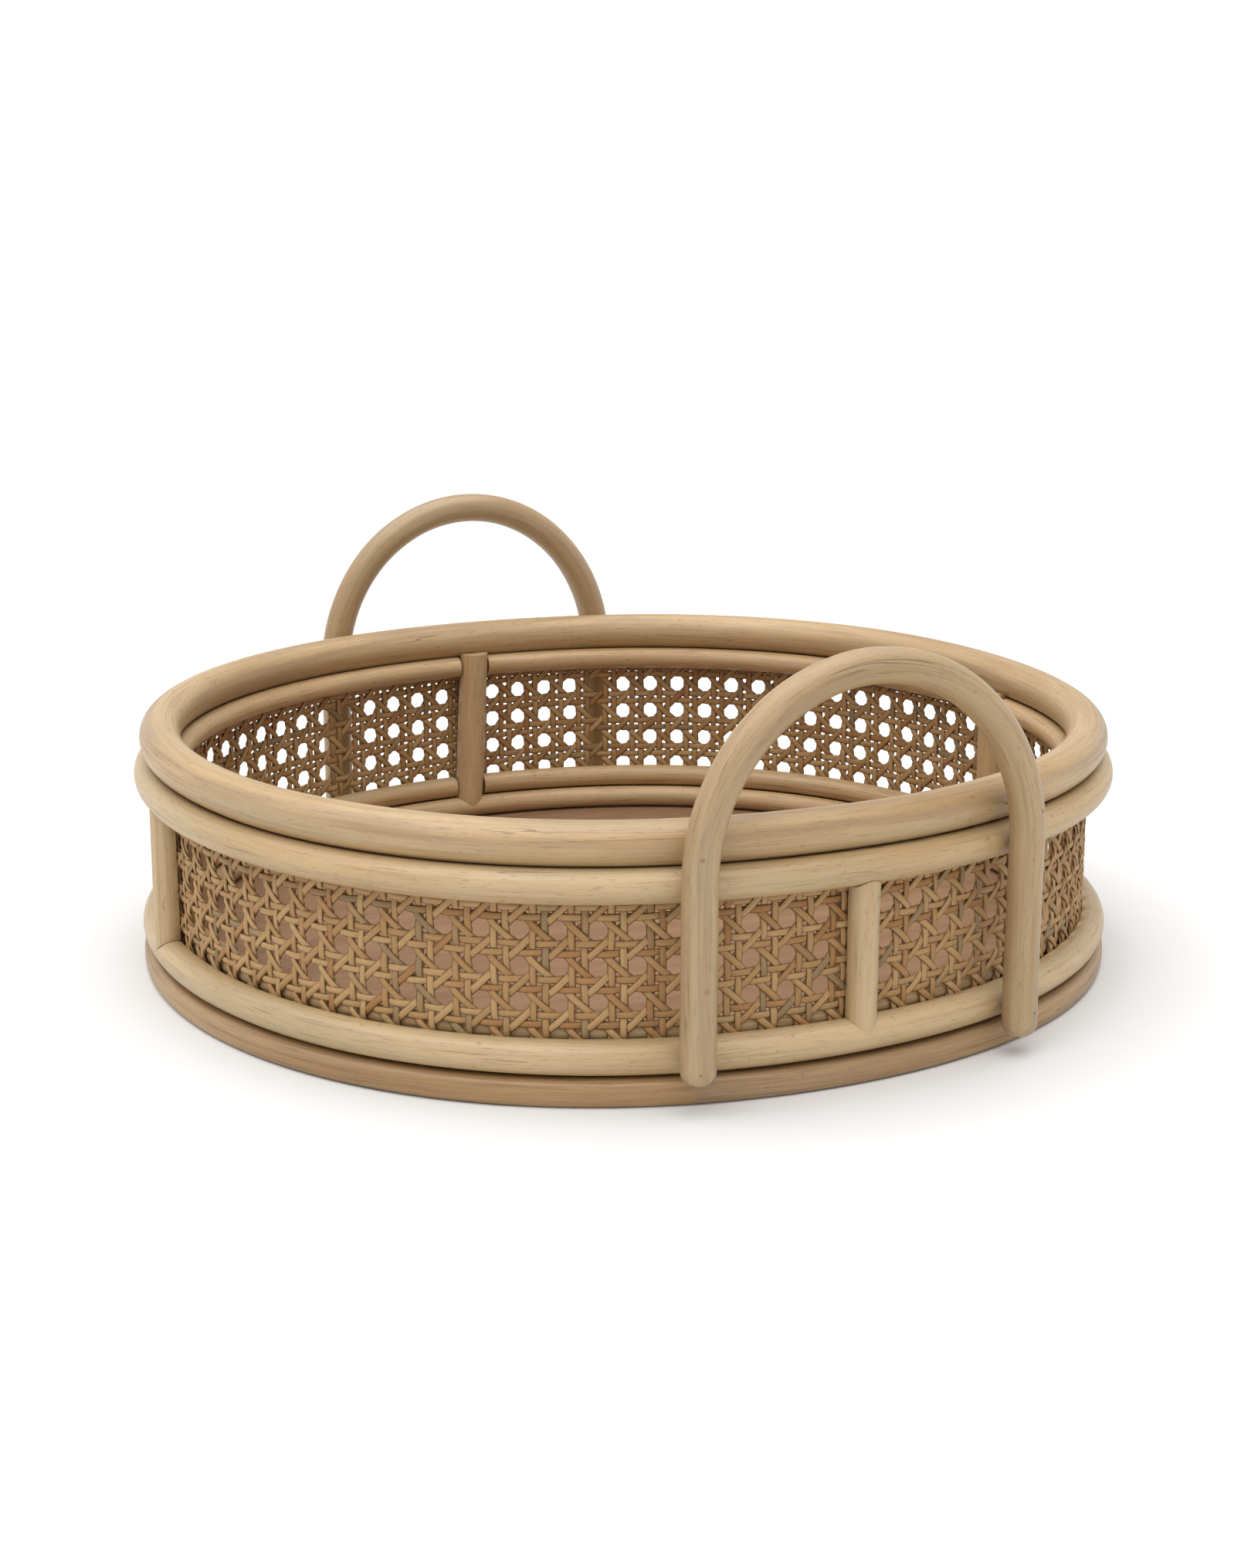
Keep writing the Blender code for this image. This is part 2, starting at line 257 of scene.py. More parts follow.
def poleFinish(name, look):
    f = Finish(name)
    grain = f.grain()
    # broad patches of colour along the pole
    patches = f.step(f.noise(grain, (11.0, 60.0, 60.0), 3.0), 0.35, 0.68)
    greyed = f.step(f.noise(grain, (8.0, 95.0, 95.0), 2.0), 0.50, 0.70)
    stained = f.step(f.noise(grain, (5.5, 130.0, 130.0), 3.0), 0.50, 0.66)
    # the wood's fibres, from streaks to pores
    dashHere = f.step(f.noise(grain, (7.0, 240.0, 240.0), 1.0), 0.46, 0.60)
    dashes = f.step(f.noise(grain, (42.0, 1500.0, 1500.0), 1.0), 0.67, 0.72) * dashHere
    streaks = f.noise(grain, (16.0, 620.0, 620.0), 5.0, 0.62)
    hairs = f.noise(grain, (60.0, 2300.0, 2300.0), 3.0, 0.6)
    pores = f.step(f.noise(grain, (230.0, 2400.0, 2400.0), 1.0), 0.66, 0.74)
    specks = f.step(f.noise(grain, (300.0, 520.0, 520.0), 0.0), 0.79, 0.83)
    # fine cracks where a noise crosses its middle value, in a few places
    crackWeb = abs(f.noise(grain, (7.0, 330.0, 330.0), 1.0) - 0.5)
    crackHere = f.step(f.noise(grain, (9.0, 110.0, 110.0), 1.0), 0.60, 0.70)
    cracks = (1.0 - f.step(crackWeb, 0.002, 0.009)) * crackHere
    # the faint ring at each node of the cane, a little uneven
    ringNoise = f.noise(grain, (10.0, 180.0, 180.0), 1.0)
    ringRun = f.part(grain, 0) * (1.0 / look["nodeSpacing"]) + ringNoise * 0.006
    rings = 1.0 - f.step(abs(ringRun.fraction() - 0.5), 0.001, 0.0042)
    colour = f.blend(patches, look["pale"], look["honey"])
    colour = f.blend(greyed * 0.6, colour, look["grey"])
    colour = f.blend(stained * look["stainShare"], colour, look["stain"])
    colour = f.blend(f.step(streaks, 0.45, 0.82) * look["streakShare"], colour, look["streak"])
    colour = f.blend(f.step(hairs, 0.44, 0.72) * 0.34, colour, look["streak"])
    colour = f.blend(pores * 0.45, colour, look["pore"])
    colour = f.blend(dashes * 0.55, colour, look["pore"])
    colour = f.blend(specks * 0.4, colour, look["pore"])
    colour = f.blend(rings * 0.10, colour, look["pore"])
    colour = f.blend(cracks * 0.6, colour, look["crack"])
    height = streaks * 0.35 + hairs * 0.25 - pores * 0.5 - dashes * 0.6 - cracks * 1.2 - rings * 0.25
    rough = look["roughness"] + f.step(streaks, 0.3, 0.8) * 0.16 + pores * 0.1
    return f.close(
        Base_Color=colour, Roughness=rough, Normal=f.bump(height, 0.00016, 0.8),
        Coat_Weight=0.30, Coat_Roughness=0.32, Specular_IOR_Level=0.5)


caneLook = {
    "tan": tone(0.370, 0.208, 0.080),
    "straw": tone(0.440, 0.272, 0.116),
    "amber": tone(0.305, 0.138, 0.042),
    "grey": tone(0.228, 0.162, 0.082),
    # dark fibre tone, also used as the painted shade along each strand's edges
    "fibreAndEdgeShade": tone(0.140, 0.070, 0.024),
    "roughness": 0.55,
}


def caneFinish():
    f = Finish("splitCane")
    grain = f.grain()
    # one tone for each stretch of a strand, because the noise is flat across it
    strandTone = f.noise(grain, (9.0, 0.0, 3.71), 0.0)
    strandGrey = f.noise(grain, (14.0, 0.0, 7.37), 0.0)
    strandAmber = f.noise(grain, (6.0, 0.0, 5.13), 0.0)
    fibres = f.noise(grain, (60.0, 4200.0, 11.0), 3.0, 0.6)
    flecks = f.step(f.noise(grain, (420.0, 3600.0, 11.0), 1.0), 0.62, 0.74)
    # painted shade: a dark outline along both edges of every strand, standing in for the shadows where
    # strands meet and pass under each other
    edge = f.step(abs(f.part(grain, 1)), 0.00085, 0.00128)
    colour = f.blend(f.step(strandTone, 0.38, 0.62), caneLook["tan"], caneLook["straw"])
    colour = f.blend(f.step(strandAmber, 0.57, 0.68) * 0.75, colour, caneLook["amber"])
    colour = f.blend(f.step(strandGrey, 0.60, 0.70) * 0.8, colour, caneLook["grey"])
    colour = f.blend(f.step(fibres, 0.42, 0.8) * 0.45, colour, caneLook["fibreAndEdgeShade"])
    colour = f.blend(flecks * 0.35, colour, caneLook["fibreAndEdgeShade"])
    # lays the painted edge shade over the strand's colour
    colour = f.blend(edge * 0.78, colour, caneLook["fibreAndEdgeShade"])
    height = fibres * 0.7 - flecks * 0.3
    rough = caneLook["roughness"] + fibres * 0.15
    return f.close(
        Base_Color=colour, Roughness=rough, Normal=f.bump(height, 0.00012, 0.7),
        Specular_IOR_Level=0.4)


boardLook = {
    "base": tone(0.212, 0.114, 0.058),
    "dark": tone(0.145, 0.074, 0.037),
    "light": tone(0.260, 0.148, 0.078),
    "roughness": 0.62,
}


def boardFinish():
    f = Finish("stainedBoard")
    place = f.place()
    figure = f.noise(place, (9.0, 75.0, 9.0), 4.0, 0.55)
    lines = f.noise(place, (30.0, 900.0, 30.0), 3.0, 0.6)
    pores = f.step(f.noise(place, (180.0, 3200.0, 180.0), 1.0), 0.64, 0.74)
    colour = f.blend(f.step(figure, 0.34, 0.66), boardLook["base"], boardLook["light"])
    colour = f.blend(f.step(lines, 0.44, 0.78) * 0.45, colour, boardLook["dark"])
    colour = f.blend(pores * 0.5, colour, boardLook["dark"])
    height = lines * 0.4 - pores * 0.7
    rough = boardLook["roughness"] + lines * 0.15
    return f.close(
        Base_Color=colour, Roughness=rough, Normal=f.bump(height, 0.0001, 0.6),
        Specular_IOR_Level=0.35)


bradLook = {"bright": tone(0.34, 0.23, 0.13), "dull": tone(0.22, 0.14, 0.075)}


def bradFinish():
    f = Finish("dulledBrad")
    tarnish = f.noise(f.place(), (900.0, 900.0, 900.0), 3.0, 0.6)
    colour = f.blend(f.step(tarnish, 0.35, 0.7), bradLook["bright"], bradLook["dull"])
    return f.close(
        Base_Color=colour, Metallic=0.2, Roughness=0.5 + tarnish * 0.25,
        Normal=f.bump(tarnish, 0.00004, 0.5))


finishes = {
    "rimPole": poleFinish("sandedRattan", sandedPole),
    "bandPole": poleFinish("paleRattan", bandPole),
    "handlePole": poleFinish("handledRattan", handleWood),
    "innerPole": poleFinish("innerRattan", innerPole),
    "basePole": poleFinish("smokedRattan", smokedPole),
    "cane": caneFinish(),
    "board": boardFinish(),
    "brad": bradFinish(),
}
print("basket: finishes made")

# hoop is the radius to the middle of the pole, pole the pole's own radius, flat the radius of a
# split pole's flat face, foot the height at which the pole is planed off
hoops = {
    "rimPole": {
        "node": "top_rim", "finish": "rimPole", "slot": "rattan_pole", "seed": 3,
        "hoop": 0.1788, "height": 0.0903, "pole": 0.0078, "around": 36, "wander": 0.00016},
    "upperBand": {
        "node": "upper_outer_band", "finish": "bandPole", "slot": "rattan_pole", "seed": 5,
        "hoop": 0.1832, "height": 0.0766, "pole": 0.00615, "around": 30, "wander": 0.00012,
        "flat": 0.1799},
    "lowerBand": {
        "node": "lower_outer_band", "finish": "bandPole", "slot": "rattan_pole", "seed": 8,
        "hoop": 0.1824, "height": 0.0166, "pole": 0.0061, "around": 30, "wander": 0.00012,
        "flat": 0.1799},
    "baseHoop": {
        "node": "base_ring", "finish": "basePole", "slot": "base_pole", "seed": 11,
        "hoop": 0.1833, "height": 0.00475, "pole": 0.0050, "around": 28, "wander": 0.00006,
        "foot": 0.0, "squared": 3.0},
    "floorHoop": {
        "node": "floor_ring", "finish": "innerPole", "slot": "rattan_pole", "seed": 13,
        "hoop": 0.1700, "height": 0.0139, "pole": 0.0046, "around": 24, "wander": 0.00008},
}
hoopLife = {"swell": 0.010, "oval": 0.006, "threeSided": 0.004}  # shares of the pole's radius


def poleSection(spec):
    # offsets outwards and upwards: |out|^n + |up|^n = pole^n, where n is 2 for a round pole,
    # with a split pole cut off by its flat face
    angle = evenAngles(spec["around"])
    power = 2.0 / spec.get("squared", 2.0)
    out, up = (spec["pole"] * np.sign(way) * np.abs(way) ** power for way in (np.cos(angle), np.sin(angle)))
    if "flat" in spec:
        onFace = 4  # points on the flat face
        reach = spec["flat"] - spec["hoop"]
        half = math.acos(reach / spec["pole"])
        angle = np.linspace(-half, half, spec["around"] - onFace)
        face = np.linspace(math.sin(half), -math.sin(half), onFace + 2)[1:-1]
        out = np.concatenate([spec["pole"] * np.cos(angle), np.full(onFace, reach)])
        up = np.concatenate([spec["pole"] * np.sin(angle), spec["pole"] * face])
    if "foot" in spec:
        up = np.maximum(up, spec["foot"] - spec["height"])
    return out, up


def hoopPole(name, spec, start=None, end=None, rings=720):
    # the section carried round the hoop, with a slow swell and wander of the pole
    loop = start is None
    if loop:
        azimuth = basket["jointAzimuth"] + np.linspace(0.0, 360.0, rings + 1)
    else:
        azimuth = np.linspace(start, end, rings)
    place, seed = np.radians(azimuth), spec["seed"]
    out, up = poleSection(spec)
    swell = (1.0 + hoopLife["swell"] * drift(place, seed))[:, None]
    wanderOut = (spec["wander"] * drift(place, seed + 50))[:, None]
    wanderUp = (spec["wander"] * drift(place, seed + 90))[:, None]
    place = place[:, None]
    across = np.arctan2(up, out)[None, :]
    oval = hoopLife["oval"] * np.cos(2.0 * across + 3.0 * place + seed)
    threeSided = hoopLife["threeSided"] * np.cos(3.0 * across - 5.0 * place)
    lobes = 1.0 + oval + threeSided
    outward = out[None, :] * swell * lobes + wanderOut
    upward = up[None, :] * swell * lobes + wanderUp
    if "flat" in spec:
        outward = np.maximum(outward, spec["flat"] - spec["hoop"])
    if "foot" in spec:
        upward = np.maximum(upward, spec["foot"] - spec["height"])
    reach = hoopRadius(spec["hoop"], azimuth)[:, None] + outward
    points = roundAxis(reach, place, spec["height"] + upward)
    along = np.radians(azimuth - azimuth[0]) * spec["hoop"] + seed
    grain = together(along[:, None], out, up)
    if loop:
        points = points[:-1]
    shellPiece(name, points, grain, loop, finishes[spec["finish"]], spec["node"], 50)


for hoopName, hoopSpec in hoops.items():
    hoopPole(hoopName, hoopSpec)
print("basket: rim, bands, base and floor hoops made")

innerBands = {
    "upper": {"hoop": 0.1733, "height": 0.0788, "pole": 0.0046},
    "lower": {"hoop": 0.1733, "height": 0.0230, "pole": 0.0046},
    "postClear": 2.335,  # degrees from a post's middle to a band's end
    "arcs": (  # name, the posts that it runs between, and degrees added to each post's azimuth
        ("back_right", "right", "back", 0.0, 0.0),
        ("back_left", "back", "left", 0.0, 0.0),
        ("front_left", "left", "front", 0.0, 360.0),
        ("front_right", "front", "right", 360.0, 360.0)),
}


def backAzimuth(height):  # of the leaning inner back post
    low, high = basket["innerBack"]
    foot = hoops["floorHoop"]["height"]
    share = (height - foot) / (basket["innerTop"] - foot)
    return low + (high - low) * share


def bandArc(level, place, start, end, seed):
    spec = dict(
        innerBands[level], node=f"{level}_inner_band_{place}", finish="innerPole",
        slot="rattan_pole", seed=seed, around=20, wander=0.0)
    clear = innerBands["postClear"]
    hoopPole(f"{level}InnerBand.{place}", spec, start + clear, end - clear, rings=140)


for arcNumber, (place, first, last, firstTurn, lastTurn) in enumerate(innerBands["arcs"]):
    for levelNumber, level in enumerate(("upper", "lower")):
        ends = dict(basket["posts"], back=backAzimuth(innerBands[level]["height"]))
        seed = 20 + arcNumber * 2 + levelNumber
        bandArc(level, place, ends[first] + firstTurn, ends[last] + lastTurn, seed)
print("basket: inner bands made")

handleSpec = {
    "pole": 0.00625,
    "reach": 0.1825,  # axis of the basket to the plane of the bend
    "spring": 0.0800,  # height at which the legs go over into the bend
    "footRound": 0.0052,
    "footPower": 2.3,
    "around": 32,
    "swell": 0.010,
    "oval": 0.008,
    "lean": 0.00025,
    "front": {
        "azimuth": -88.95, "half": 0.0646, "top": 0.1468, "leftFoot": 0.0111, "rightFoot": 0.0068,
        "seed": 31},
    "back": {
        "azimuth": 87.2, "half": 0.0632, "top": 0.1490, "leftFoot": 0.0085, "rightFoot": 0.0085,
        "seed": 37},
}


def legRise(foot):  # heights up a leg, close together where its end is rounded
    s = handleSpec
    end = foot + s["footRound"] * (1.0 - np.cos(np.linspace(0.06, 0.5 * np.pi, 10)))
    return np.concatenate([end, np.linspace(foot + s["footRound"], s["spring"], 40)[1:]])


def handlePole(name, node, place):
    # a round pole along a leg, half an ellipse and the other leg; at its ends the radius is
    # pole * (1 - (1 - depth)^n)^(1/n), where depth goes from 0 to 1 up the rounded foot
    s = handleSpec
    half, seed = place["half"], place["seed"]
    rightLeg, leftLeg = legRise(place["rightFoot"]), legRise(place["leftFoot"])[::-1]
    bend = np.linspace(0.0, np.pi, 150)[1:-1]
    sideways = np.concatenate([
        np.full(len(rightLeg), half), half * np.cos(bend), np.full(len(leftLeg), -half)])
    arch = s["spring"] + (place["top"] - s["spring"]) * np.sin(bend)
    height = np.concatenate([rightLeg, arch, leftLeg])
    run, climb = np.gradient(sideways), np.gradient(height)
    length = np.hypot(run, climb)
    travelled = np.cumsum(length)
    foot = np.where(sideways > 0.0, place["rightFoot"], place["leftFoot"])
    depth = np.clip((height - foot) / s["footRound"], 0.0, 1.0)
    ends = (1.0 - (1.0 - depth) ** s["footPower"]) ** (1.0 / s["footPower"])
    position = travelled / travelled[-1] * 2.0 * np.pi
    radius = s["pole"] * ends * (1.0 + s["swell"] * drift(position, seed))
    lean = s["lean"] * drift(position, seed + 4)
    angle = evenAngles(s["around"])
    lobes = 1.0 + s["oval"] * np.cos(2.0 * angle[None, :] + position[:, None] * 2.0)
    outward = radius[:, None] * np.cos(angle)[None, :] * lobes + lean[:, None]
    across = radius[:, None] * np.sin(angle)[None, :] * lobes
    side = sideways[:, None] + across * (climb / length)[:, None]
    rise = height[:, None] - across * (run / length)[:, None]
    points = facingOut(s["reach"] + outward, side, rise, math.radians(place["azimuth"]))
    grain = together((travelled + seed)[:, None], outward, across)
    shellPiece(name, points, grain, False, finishes["handlePole"], node)


handlePole("frontHandle", "front_handle", handleSpec["front"])
handlePole("backHandle", "back_handle", handleSpec["back"])
print("basket: handles made")

postSpecs = {
    "outer": {
        "finish": "bandPole", "hoop": 0.1828, "pole": 0.0055, "flat": 0.1799, "around": 30,
        "low": ("lowerBand", 1.0), "high": ("upperBand", -1.0)},  # hoop, and its top or underside
    "inner": {
        "finish": "innerPole", "hoop": 0.1717, "pole": 0.0062, "around": 28,
        "low": ("floorHoop", 1.0), "high": ("rimPole", -1.0)},
    "gap": 0.0002,
    "capRings": (0.04, 0.35, 0.65, 0.9),  # shares of the section on a post's cut ends
}


def seatHeight(hoopName, way, outward, hoopAt, squeeze):
    # height at which an upright line meets a hoop's pole, which copes the post's end:
    # middle of the pole +- sqrt(size^2 - offset^2)
    band = hoops[hoopName]
    offset = (hoopAt - band["hoop"]) * squeeze + outward
    size = band["pole"] + postSpecs["gap"]
    return band["height"] + way * np.sqrt(np.maximum(size ** 2 - offset ** 2, 0.0))


def post(name, node, azimuth, spec, seed, topAzimuth, top=1.0):
    # a straight pole from azimuth to topAzimuth, its ends coped over the hoops it stands between
    squeeze = float(hoopRadius(1.0, azimuth))
    section = {"around": spec["around"], "pole": spec["pole"]}
    if "flat" in spec:
        section.update(hoop=spec["hoop"] * squeeze, flat=spec["flat"] * squeeze)
    out, side = poleSection(section)
    share = np.array(postSpecs["capRings"])[:, None]
    middle = out.mean()
    capOut, capSide = middle + (out - middle) * share, side * share
    ends = {}
    for end in ("low", "high"):
        seats = [seatHeight(*spec[end], outward, spec["hoop"], squeeze) for outward in (out, capOut)]
        ends[end] = [np.minimum(seat, top) for seat in seats]
    rise = np.linspace(0.0, 1.0, 40)[:, None]
    bow = 0.00012 * np.sin(rise * 3.0 + seed) + 0.00006 * np.sin(rise * 9.0 + seed)
    wallOut = out[None, :] * (1.0 + 0.010 * np.sin(rise * 5.0 + seed)) + bow * 0.3
    wallSide = side[None, :] * (1.0 + 0.012 * np.sin(rise * 4.0 + 2.0 * seed)) + bow
    wallHeight = ends["low"][0][None, :] * (1.0 - rise) + ends["high"][0][None, :] * rise
    outward = np.concatenate([capOut, wallOut, capOut[::-1]])
    sideways = np.concatenate([capSide, wallSide, capSide[::-1]])
    height = np.concatenate([ends["low"][1], wallHeight, ends["high"][1][::-1]])
    climb = np.clip((height - height.min()) / np.ptp(height), 0.0, 1.0)
    facing = np.radians(azimuth + climb * (topAzimuth - azimuth))
    points = facingOut(spec["hoop"] * squeeze + outward, sideways, height, facing)
    grain = np.stack([height + seed, outward, sideways], -1)
    shellPiece(name, points, grain, False, finishes[spec["finish"]], node, 55)


for number, (place, azimuth) in enumerate(basket["posts"].items()):
    post(f"outerPost.{place}", f"outer_post_{place}", azimuth, postSpecs["outer"], 61 + number, azimuth)
    foot, head = basket["innerBack"] if place == "back" else (azimuth, azimuth)
    post(
        f"innerPost.{place}", f"inner_post_{place}", foot, postSpecs["inner"], 71 + number, head,
        basket["innerTop"])
print("basket: posts made")

cane = {
    "columns": 87,  # holes round the wall
    "firstHole": 258.4,  # azimuth of hole 0
    "slack": 1.3,  # degrees by which the columns run ahead at one side
    "seamAt": -1.60,  # column of the seam, behind a handle leg
    "seamGap": 0.03,  # of a column, left open at the seam
    "rowPitch": 0.0126,
    "rowHeight": 0.0500,  # height of hole row 0
    "rowTilt": 0.0029,  # the strip is lower by this at its low side, and higher across from it
    "lowSide": 222.0,  # azimuth
    "lowEdge": 0.0125,
    "highEdge": 0.0800,
    "diagonalRows": (-3.05, 2.60),  # rows at which a diagonal strand ends
    "wall": 0.1789,
    "halfPairV": 0.160,  # in columns: half the distance between a pair of uprights
    "halfPairH": 0.133,  # in rows: half the distance between a pair of levels
    "width": 0.00266,
    "thick": 0.00082,
    "wave": 0.00044,
    "diagonalWave": 0.00064,
    "crest": 0.13,  # a smaller one gives broader crests
    "ringsPerHole": 12,
    "across": (-0.5, -0.30, 0.0, 0.30, 0.5, 0.30, 0.0, -0.30),  # lens section, in widths
    "crown": (-0.10, 0.36, 0.50, 0.36, -0.10, -0.40, -0.46, -0.40),  # and in thicknesses
    "sway": ((0.009, 0.37), (0.006, 0.9)),  # sideways waves of a strand: size in holes, rate
    "placing": 0.006,  # spread of the strands' places, in holes
    "widthSpread": (-0.09, 0.07),
    "widthWave": (0.05, 0.6),
    "tiltWave": (0.10, 0.8),
}


def holeAzimuth(column):
    return cane["firstHole"] + column * 360.0 / cane["columns"]


def stripTilt(azimuth):
    return cane["rowTilt"] * np.cos(np.radians(azimuth - cane["lowSide"]))


def wallPoint(column, row, lift):  # column and row in holes, lift in metres outwards
    azimuth = holeAzimuth(column) + cane["slack"] * np.sin(2.0 * np.pi * column / cane["columns"])
    reach = hoopRadius(cane["wall"], azimuth) + lift
    height = cane["rowHeight"] - stripTilt(azimuth) + row * cane["rowPitch"]
    return roundAxis(reach, np.radians(azimuth), height)


def rowAt(column, height):
    return (height - cane["rowHeight"] + stripTilt(holeAzimuth(column))) / cane["rowPitch"]


def plait(wave):  # wave / sqrt(wave^2 + crest): a strand lies flat over the pair it crosses
    return wave / np.sqrt(wave ** 2 + cane["crest"])


def unevenness(travel, sizeAndRate, phase):  # size * sin(2 pi travel rate + phase)
    size, rate = sizeAndRate
    return size * np.sin(2.0 * np.pi * travel * rate + phase)


def weave(name, starts, ends, direction, liftOf, seed):
    # every strand is a ribbon of lens section from its start to its end (column, row); liftOf
    # gives its height from the wall at each point
    strands = len(starts)
    span = np.abs(ends - starts).max()
    steps = int(math.ceil(span * cane["ringsPerHole"])) + 1
    share = np.linspace(0.0, 1.0, steps)[None, :]
    column = starts[:, :1] + (ends - starts)[:, :1] * share
    row = starts[:, 1:] + (ends - starts)[:, 1:] * share
    rng = np.random.default_rng(seed)
    phase = rng.uniform(0.0, 2.0 * np.pi, (strands, 4))
    travel = share * span
    sway = [unevenness(travel, cane["sway"][k], phase[:, k:k + 1]) for k in (0, 1)]
    wander = (sway[0] + sway[1] + rng.normal(0.0, cane["placing"], (strands, 1)))[:, :, None]
    spread = rng.uniform(*cane["widthSpread"], (strands, 1))
    wide = cane["width"] * (1.0 + spread + unevenness(travel, cane["widthWave"], phase[:, 2:3]))
    tilt = unevenness(travel, cane["tiltWave"], phase[:, 3:4])
    offset = np.array(cane["across"]) * wide[:, :, None]
    crown = np.array(cane["crown"]) * cane["thick"]
    raised = crown + tilt[:, :, None] * offset + liftOf(column, row)[:, :, None]
    cell = cane["wall"] * 2.0 * np.pi / cane["columns"]
    normal = (-direction[1], direction[0])
    rings = wallPoint(
        column[:, :, None] + normal[0] * (wander + offset / cell),
        row[:, :, None] + normal[1] * (wander + offset / cane["rowPitch"]), raised)
    number = np.arange(strands)[:, None, None]
    apart = 0.83  # moves each strand's grain on from its neighbour's
    grain = together((travel * cell)[:, :, None] + number * apart, offset, seed + number)
    parts = [shell(rings[k], grain[k], False) for k in range(strands)]
    shift = np.cumsum([0] + [len(part[0]) for part in parts[:-1]])
    points = np.concatenate([part[0] for part in parts])
    quads, triangles = (
        np.concatenate([part[which] + s for part, s in zip(parts, shift)]) for which in (1, 2))
    corners = [np.concatenate([part[3][which] for part in parts]) for which in (0, 1)]
    mesh = meshFromFaces(name, points, quads, triangles, corners)
    addPiece(name, mesh, finishes["cane"], "cane_webbing")


def uprights(name, sideOfPair, seed):  # lift = side * wave * plait(sin 2 pi row)
    columns = np.arange(cane["columns"]) - 0.5 + sideOfPair * cane["halfPairV"]
    starts, ends = (
        np.stack([columns, rowAt(columns, edge)], -1) for edge in (cane["lowEdge"], cane["highEdge"]))

    def liftOf(column, row):
        return sideOfPair * cane["wave"] * plait(np.sin(2.0 * np.pi * row))

    weave(name, starts, ends, (0.0, 1.0), liftOf, seed)


def levels(name, sideOfPair, seed):  # lift = -side * wave * plait(sin 2 pi column)
    rows = np.arange(-3, 2) + 0.5 + sideOfPair * cane["halfPairH"]
    starts = np.stack([np.full(len(rows), cane["seamAt"]), rows], -1)
    ends = starts + np.array([cane["columns"] - cane["seamGap"], 0.0])

    def liftOf(column, row):
        return -sideOfPair * cane["wave"] * plait(np.sin(2.0 * np.pi * column))

    weave(name, starts, ends, (1.0, 0.0), liftOf, seed)


def diagonals(name, lean, seed):
    # lift = -lean * wave * plait(cos 2 pi row); lean 1 climbs with the columns, lean -1 falls
    first = np.arange(cane["columns"]) + 0.5
    starts, ends = (
        np.stack([first + lean * row, np.full(len(first), row)], -1) for row in cane["diagonalRows"])
    flat = 1.0 / math.sqrt(2.0)

    def liftOf(column, row):
        return -lean * cane["diagonalWave"] * plait(np.cos(2.0 * np.pi * row))

    weave(name, starts, ends, (lean * flat, flat), liftOf, seed)


uprights("caneUprights.left", -1, 100)
uprights("caneUprights.right", 1, 300)
levels("caneLevels.lower", -1, 500)
levels("caneLevels.upper", 1, 520)
diagonals("caneDiagonals.rising", 1, 600)
diagonals("caneDiagonals.falling", -1, 800)
print("basket: cane woven")

boardSpec = {
    "radius": 0.1778,
    "low": 0.0030,
    "high": 0.0090,
    "edge": 0.0008,  # radius of the rounded edge
    "insets": (0.176, 0.12, 0.06, 0.01),  # rings on each face, from the middle outwards
}


def floorBoard():  # a disc: centre of the underside, out to its rounded edge, and back over the top
    s = boardSpec
    corner = np.linspace(0.0, 0.5 * np.pi, 5)
    falling, rising = s["edge"] * (1.0 - np.sin(corner)), s["edge"] * (1.0 - np.cos(corner))
    inset = np.concatenate([s["insets"], falling, rising, s["insets"][::-1]])[:, None]
    flat = np.ones(len(s["insets"]))
    height = np.concatenate([flat * s["low"], s["low"] + rising, s["high"] - falling, flat * s["high"]])
    azimuth = np.linspace(0.0, 360.0, 240, endpoint=False)
    reach = hoopRadius(s["radius"], azimuth) - inset * hoopRadius(1.0, azimuth)
    points = roundAxis(reach, np.radians(azimuth), height[:, None])
    shellPiece("floorBoard", points, points, False, finishes["board"], "floor_panel", 60)


bradSpec = {
    "length": 0.0205,
    "outline": (  # along the brad from the head, and radius there
        (-0.00018, 0.0002), (-0.00014, 0.0005), (-0.00004, 0.0007), (0.0002, 0.0008),
        (0.0004, 0.0008), (0.00042, 0.0005), (0.0190, 0.0005), (0.0205, 0.00015)),
}


def brad(name, node):  # its outline turned about its own axis, placed from its solid
    low, high = (np.array(corner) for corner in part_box(node))
    middle = 0.5 * (low + high)
    inward = np.array([-middle[0], -middle[1], 0.0]) / math.hypot(middle[0], middle[1])
    side = np.array([-inward[1], inward[0], 0.0])
    outer = middle - inward * bradSpec["length"] * 0.5
    along, radius = np.array(bradSpec["outline"]).T
    angle = np.linspace(0.0, 2.0 * np.pi, 20, endpoint=False)
    circle = np.cos(angle)[:, None] * side + np.sin(angle)[:, None] * np.array([0.0, 0.0, 1.0])
    points = outer + along[:, None, None] * inward + radius[:, None, None] * circle
    shellPiece(name, points, points, False, finishes["brad"], node)


floorBoard()
for leg in ("front_left", "front_right", "back_left", "back_right"):
    for level in ("rim", "band"):
        brad(f"brad.{leg}.{level}", f"brad_{leg}_{level}")
print("basket: floor board and brads made")

stage = {
    "floor": 14.0,  # radius
    "floorTone": tone(0.71, 0.71, 0.71),
    "floorShade": tone(0.69, 0.69, 0.69),
    "sunTowards": (-0.16, -0.02, 1.0),
    "sunSpread": 85.0,
    "sunStrength": 3.6,
    "horizon": 1.03,  # strength of the sky low down and overhead, and where one gives way
    "zenith": 0.44,
    "skyBand": (0.04, 0.70),
}


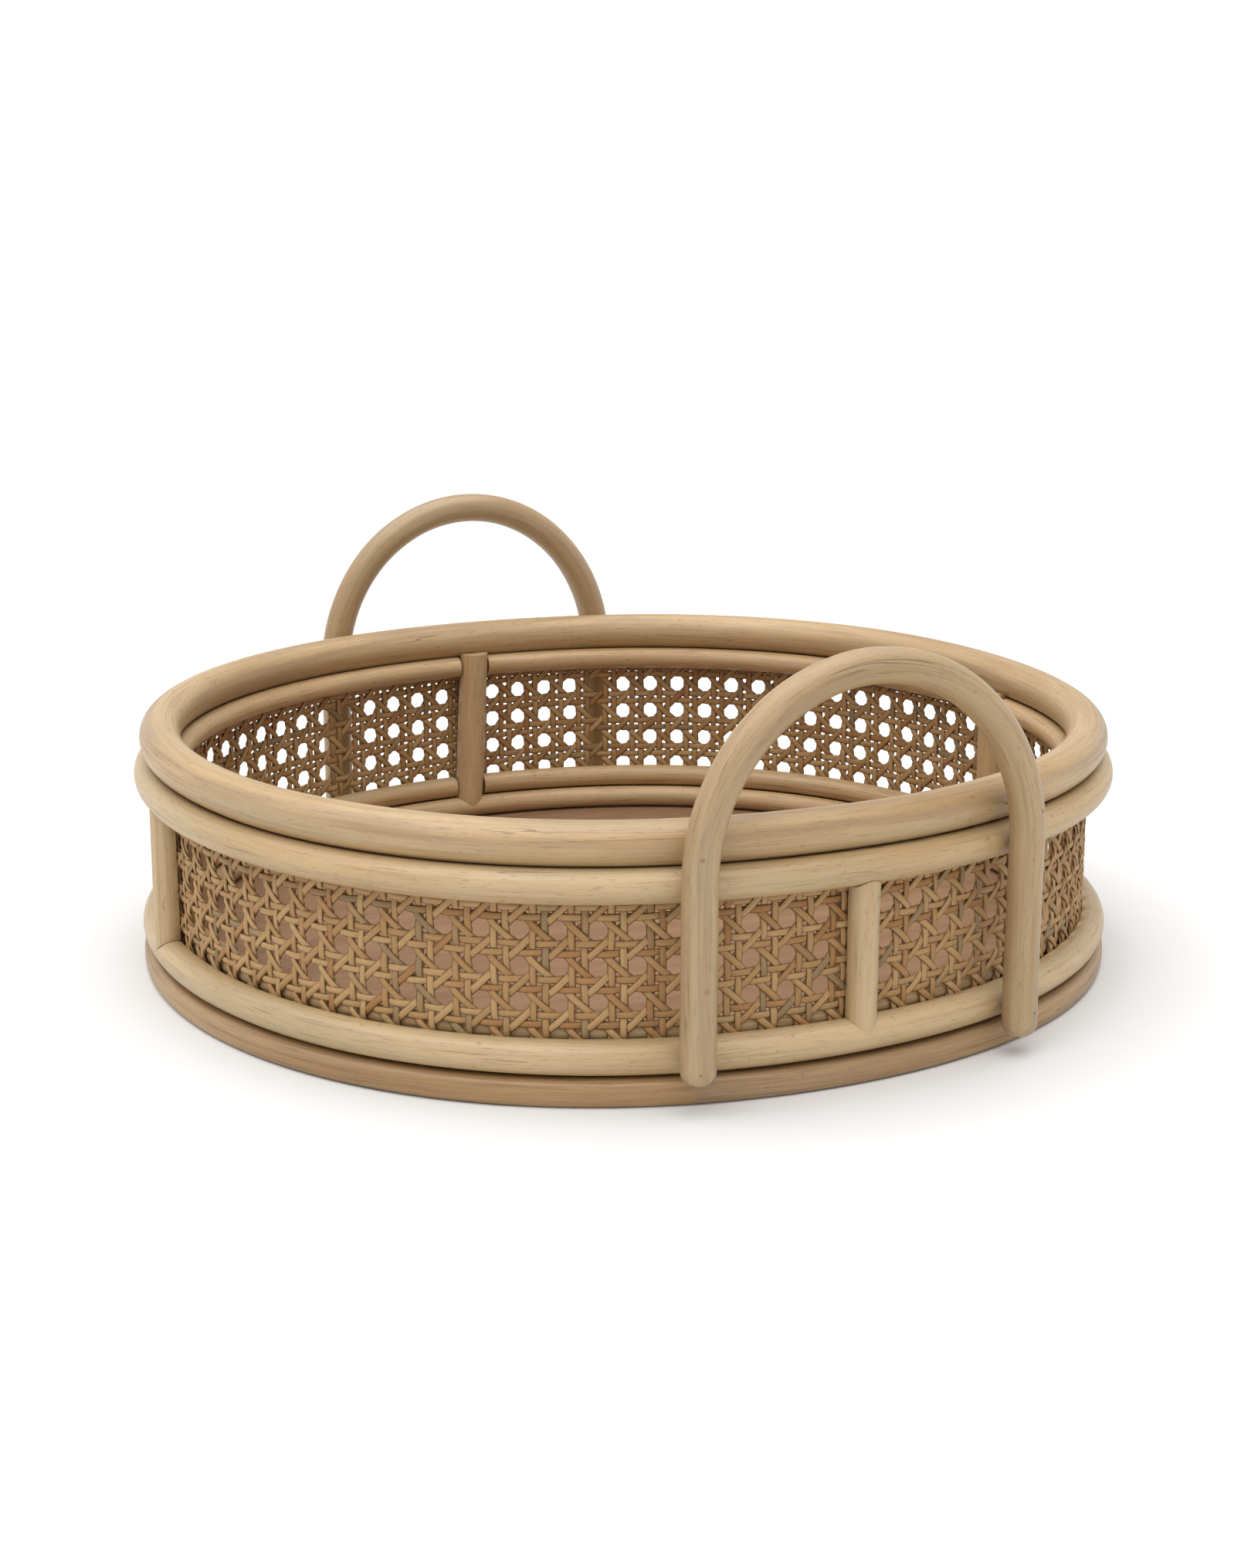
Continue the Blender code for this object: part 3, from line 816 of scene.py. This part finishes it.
def paleFloor():
    f = Finish("paleFloor")
    faint = f.noise(f.place(), (3.0, 3.0, 3.0), 2.0)
    colour = f.blend(faint * 0.1, stage["floorTone"], stage["floorShade"])
    finish = f.close(Base_Color=colour, Roughness=0.9, Specular_IOR_Level=0.1)
    corners = 96
    rim = roundAxis(stage["floor"], np.linspace(0.0, 2.0 * np.pi, corners, endpoint=False), 0.0)
    mesh = bpy.data.meshes.new("paleFloor")
    mesh.from_pydata(rim.tolist(), [], [list(range(corners))])
    mesh.materials.append(finish)
    floor = bpy.data.objects.new("paleFloor", mesh)
    scene.collection.objects.link(floor)


def softSun():  # a broad disc of light, almost overhead
    lamp = bpy.data.lights.new("overhead", "SUN")
    lamp.energy, lamp.angle = stage["sunStrength"], math.radians(stage["sunSpread"])
    holder = bpy.data.objects.new("overhead", lamp)
    scene.collection.objects.link(holder)
    holder.rotation_euler = Vector(stage["sunTowards"]).to_track_quat("Z", "Y").to_euler()


def studioSky():  # bright at the horizon, dimmer overhead, by the height of the direction
    world = bpy.data.worlds.new("studio")
    scene.world = world
    world.use_nodes = True
    tree = world.node_tree
    direction = tree.nodes.new("ShaderNodeTexCoord")
    height = tree.nodes.new("ShaderNodeSeparateXYZ")
    strength = tree.nodes.new("ShaderNodeMapRange")
    strength.interpolation_type = "SMOOTHSTEP"
    low, high = stage["skyBand"]
    span = {"From Min": low, "From Max": high, "To Min": stage["horizon"], "To Max": stage["zenith"]}
    for socket, value in span.items():
        strength.inputs[socket].default_value = value
    tree.links.new(direction.outputs["Generated"], height.inputs[0])
    tree.links.new(height.outputs["Z"], strength.inputs["Value"])
    background = tree.nodes["Background"]
    tree.links.new(strength.outputs[0], background.inputs["Strength"])
    background.inputs["Color"].default_value = tone(1.0, 1.0, 1.0)


paleFloor()
softSun()
studioSky()
scene.view_settings.view_transform = "Standard"

view = {
    "azimuth": 244.2,  # of the camera from the basket's axis, in degrees
    "distance": 0.9953,
    "height": 0.3254,
    "heading": 25.85,
    "down": 14.73,
    "lens": 59.29,
    "sensor": 36.0,
}
camera = bpy.data.objects.new("camera", bpy.data.cameras.new("camera"))
scene.collection.objects.link(camera)
scene.camera = camera
camera.data.lens = view["lens"]
camera.data.sensor_width = view["sensor"]
bearing = math.radians(view["azimuth"])
camera.location = (
    view["distance"] * math.cos(bearing), view["distance"] * math.sin(bearing), view["height"])
camera.rotation_euler = (math.radians(90.0 - view["down"]), 0.0, math.radians(-view["heading"]))
print("basket: stage set")
